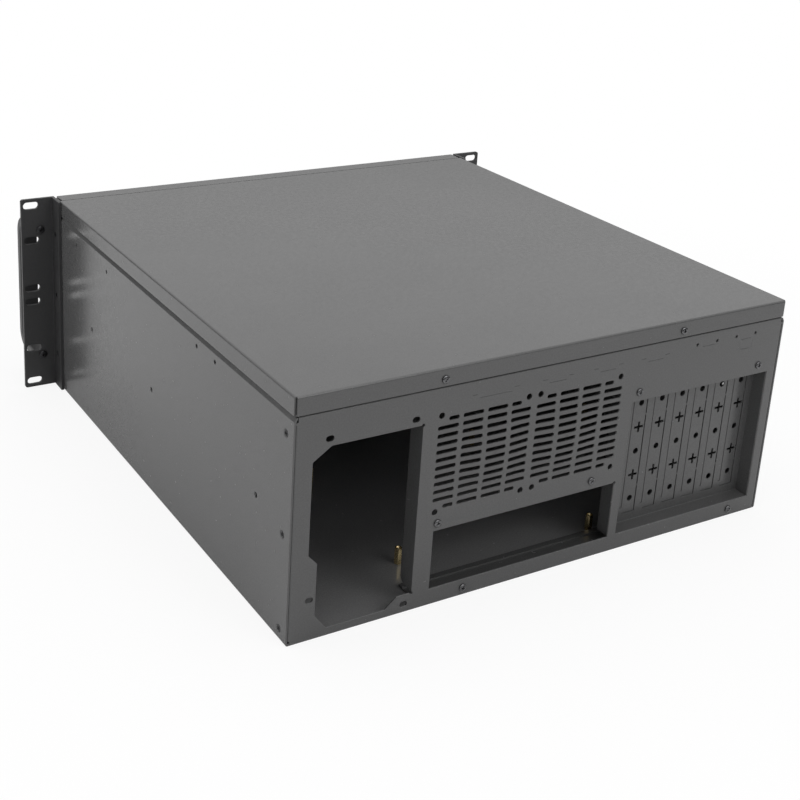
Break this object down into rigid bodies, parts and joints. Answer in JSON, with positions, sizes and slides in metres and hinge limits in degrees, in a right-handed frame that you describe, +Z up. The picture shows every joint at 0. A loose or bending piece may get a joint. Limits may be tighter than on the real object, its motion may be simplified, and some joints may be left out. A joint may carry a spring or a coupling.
{
  "type": "empty rackmount server case",
  "caption": "Empty rack case four units high: folded steel base and sliding lid, vented rear panel with power supply, connector and card openings, rack ears with bow handles.",
  "frame": {"origin": "middle of the underside of the overall box, from the grips of the handles to the screw heads on the rear face", "axes": "+Z up, +Y towards the rear panel, +X to the right seen from the front"},
  "size_m": [0.4826, 0.4914, 0.177],
  "materials": {
    "powder_coat": "fine textured powder coat",
    "ear_coat": "darker fine textured powder coat",
    "screw_black": "blackened steel",
    "screw_steel": "dark zinc plated steel",
    "brass": "turned brass",
    "bezel_plastic": "fine moulded texture",
    "button_plastic": "smooth satin",
    "lamp_plastic": "clear, unlit"
  },
  "bodies": {
    "case": {"bar_screws": "screw_black", "bay_cage": "powder_coat", "bay_cover_1": "bezel_plastic", "bay_cover_2": "bezel_plastic", "bay_cover_3": "bezel_plastic", "cage_bridge": "powder_coat", "cage_screws": "screw_steel", "chassis_base": "powder_coat", "cross_brace": "powder_coat", "drive_cage": "powder_coat", "drive_lamp": "lamp_plastic", "ear_screws": "screw_black", "front_panel": "powder_coat", "handle_left": "ear_coat", "handle_right": "ear_coat", "handle_screws": "screw_black", "motherboard_standoffs": "brass", "power_lamp": "lamp_plastic", "rack_ear_left": "ear_coat", "rack_ear_right": "ear_coat", "rear_frame": "powder_coat", "rear_panel": "powder_coat", "rear_panel_screws": "screw_steel", "side_panel_screws": "screw_black", "slot_frame": "powder_coat", "switch_bracket": "powder_coat"},
    "cover": {"top_cover": "powder_coat", "top_cover_screws": "screw_steel"},
    "power_switch": {"power_button": "button_plastic"},
    "reset_switch": {"reset_button": "button_plastic"}
  },
  "joints": [
    {"name": "cover_slide", "type": "slide", "parent": "case", "child": "cover", "axis": [0, 1, 0], "range_m": [0, 0.4]},
    {"name": "power_press", "type": "slide", "parent": "case", "child": "power_switch", "axis": [0, 1, 0], "range_m": [0, 0.0015], "stiffness_N_per_m": 300, "springref_m": -0.001},
    {"name": "reset_press", "type": "slide", "parent": "case", "child": "reset_switch", "axis": [0, 1, 0], "range_m": [0, 0.0015], "stiffness_N_per_m": 300, "springref_m": -0.001}
  ]
}
